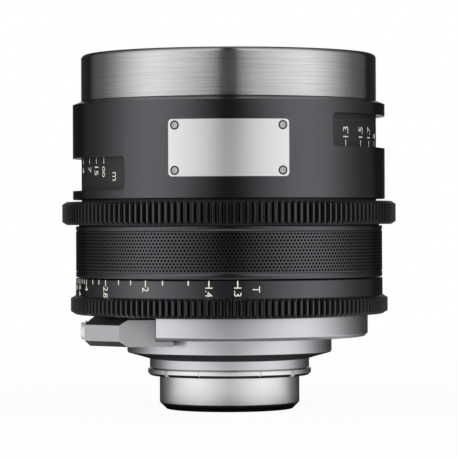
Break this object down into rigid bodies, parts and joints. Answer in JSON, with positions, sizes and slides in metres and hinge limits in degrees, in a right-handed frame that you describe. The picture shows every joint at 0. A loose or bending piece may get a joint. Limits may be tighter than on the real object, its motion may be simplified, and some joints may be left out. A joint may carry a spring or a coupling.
{
  "type": "cinema prime lens",
  "caption": "Cinema prime lens with geared focus and iris rings, scale windows, bladed iris, sliding focus group, bayonet rear mount and data port.",
  "frame": {"origin": "centre of the mount seat, the flange face that meets the camera", "axes": "+Z along the optical axis to the front; -Y is the side with the name plate; +X is to its right"},
  "size_m": [0.1288, 0.1288, 0.1364],
  "materials": {
    "mount_steel": "satin turned stainless steel",
    "screw_steel": "turned steel with a hex socket",
    "black_screws": "blackened steel",
    "shim_steel": "rolled shim stock",
    "matte_black": "matte black anodised",
    "satin_aluminium": "satin clear anodised",
    "front_aluminium": "circumferentially brushed",
    "plate_aluminium": "fine satin",
    "barrel_aluminium": "turned",
    "grey_anodised": "bead blasted grey anodised",
    "connector_chrome": "bright",
    "contact_insulator": "moulded",
    "board_green": "lacquered board",
    "black_anodised": "satin black anodised",
    "drum_black": "matte black anodised",
    "grip_black": "dimpled, satin black anodised",
    "cam_bronze": "hard anodised and lapped",
    "blade_steel": "burnished black steel",
    "coated_glass": "polished and coated"
  },
  "bodies": {
    "lens_body": {"barrel_screws": "screw_steel", "barrel_shell": "black_anodised", "bayonet_mount": "mount_steel", "cell_screws": "black_screws", "cover_screws": "screw_steel", "data_port_contacts": "contact_insulator", "data_port_housing": "grey_anodised", "data_port_socket": "connector_chrome", "front_baffle": "matte_black", "front_cell": "matte_black", "front_element": "coated_glass", "front_retainer": "matte_black", "front_ring": "front_aluminium", "front_ring_screws": "screw_steel", "iris_base": "matte_black", "iris_lid": "matte_black", "main_barrel": "barrel_aluminium", "mount_screws": "screw_steel", "mount_shim": "shim_steel", "name_plate": "plate_aluminium", "plate_screws": "screw_steel", "port_screws": "black_screws", "rear_barrel": "satin_aluminium", "rear_cell": "matte_black", "rear_cover": "satin_aluminium", "rear_element": "coated_glass", "rear_inner_element": "coated_glass", "rear_retainer": "matte_black", "second_element": "coated_glass", "sensor_board": "board_green", "shell_screws": "screw_steel", "tail_guard": "matte_black"},
    "focus_ring": {"focus_carrier": "barrel_aluminium", "focus_grip": "grip_black", "focus_gear": "black_anodised", "focus_scale_drum": "drum_black", "cam_sleeve": "cam_bronze", "carrier_screws": "screw_steel", "focus_stop_pin": "screw_steel"},
    "focus_group": {"focus_cell": "barrel_aluminium", "focus_retainer": "matte_black", "focus_front_element": "coated_glass", "focus_rear_element": "coated_glass", "cam_rollers": "screw_steel"},
    "iris_ring": {"iris_scale_ring": "black_anodised", "iris_gear": "black_anodised", "iris_cam_plate": "cam_bronze", "iris_driver": "screw_steel"},
    "iris_blade_1": {"iris_blade_1": "blade_steel"},
    "iris_blade_2": {"iris_blade_2": "blade_steel"},
    "iris_blade_3": {"iris_blade_3": "blade_steel"},
    "iris_blade_4": {"iris_blade_4": "blade_steel"},
    "iris_blade_5": {"iris_blade_5": "blade_steel"},
    "iris_blade_6": {"iris_blade_6": "blade_steel"},
    "iris_blade_7": {"iris_blade_7": "blade_steel"},
    "iris_blade_8": {"iris_blade_8": "blade_steel"},
    "iris_blade_9": {"iris_blade_9": "blade_steel"}
  },
  "joints": [
    {"name": "focus_turn", "type": "hinge", "parent": "lens_body", "child": "focus_ring", "pos_m": [0, 0, 0.052], "axis": [0, 0, 1], "range_deg": [-34.5, 165.5]},
    {"name": "focus_slide", "type": "slide", "parent": "lens_body", "child": "focus_group", "axis": [0, 0, 1], "range_m": [-0.00166, 0.00795]},
    {"name": "iris_turn", "type": "hinge", "parent": "lens_body", "child": "iris_ring", "pos_m": [0, 0, 0.031], "axis": [0, 0, 1], "range_deg": [-93, 0]},
    {"name": "blade_1_swing", "type": "hinge", "parent": "lens_body", "child": "iris_blade_1", "pos_m": [0, -0.036, 0.029], "axis": [0, 0, 1], "range_deg": [-31.01, 0.01]},
    {"name": "blade_2_swing", "type": "hinge", "parent": "lens_body", "child": "iris_blade_2", "pos_m": [0.02314, -0.02758, 0.029], "axis": [0, 0, 1], "range_deg": [-31.01, 0.01]},
    {"name": "blade_3_swing", "type": "hinge", "parent": "lens_body", "child": "iris_blade_3", "pos_m": [0.03545, -0.00625, 0.029], "axis": [0, 0, 1], "range_deg": [-31.01, 0.01]},
    {"name": "blade_4_swing", "type": "hinge", "parent": "lens_body", "child": "iris_blade_4", "pos_m": [0.03118, 0.018, 0.029], "axis": [0, 0, 1], "range_deg": [-31.01, 0.01]},
    {"name": "blade_5_swing", "type": "hinge", "parent": "lens_body", "child": "iris_blade_5", "pos_m": [0.01231, 0.03383, 0.029], "axis": [0, 0, 1], "range_deg": [-31.01, 0.01]},
    {"name": "blade_6_swing", "type": "hinge", "parent": "lens_body", "child": "iris_blade_6", "pos_m": [-0.01231, 0.03383, 0.029], "axis": [0, 0, 1], "range_deg": [-31.01, 0.01]},
    {"name": "blade_7_swing", "type": "hinge", "parent": "lens_body", "child": "iris_blade_7", "pos_m": [-0.03118, 0.018, 0.029], "axis": [0, 0, 1], "range_deg": [-31.01, 0.01]},
    {"name": "blade_8_swing", "type": "hinge", "parent": "lens_body", "child": "iris_blade_8", "pos_m": [-0.03545, -0.00625, 0.029], "axis": [0, 0, 1], "range_deg": [-31.01, 0.01]},
    {"name": "blade_9_swing", "type": "hinge", "parent": "lens_body", "child": "iris_blade_9", "pos_m": [-0.02314, -0.02758, 0.029], "axis": [0, 0, 1], "range_deg": [-31.01, 0.01]}
  ],
  "couplings": [
    {"joint": "focus_slide", "follows": "focus_turn", "m_per_rad": 0.0027502},
    {"joint": "blade_1_swing", "follows": "iris_turn", "ratio": 0.33333},
    {"joint": "blade_2_swing", "follows": "iris_turn", "ratio": 0.33333},
    {"joint": "blade_3_swing", "follows": "iris_turn", "ratio": 0.33333},
    {"joint": "blade_4_swing", "follows": "iris_turn", "ratio": 0.33333},
    {"joint": "blade_5_swing", "follows": "iris_turn", "ratio": 0.33333},
    {"joint": "blade_6_swing", "follows": "iris_turn", "ratio": 0.33333},
    {"joint": "blade_7_swing", "follows": "iris_turn", "ratio": 0.33333},
    {"joint": "blade_8_swing", "follows": "iris_turn", "ratio": 0.33333},
    {"joint": "blade_9_swing", "follows": "iris_turn", "ratio": 0.33333}
  ]
}
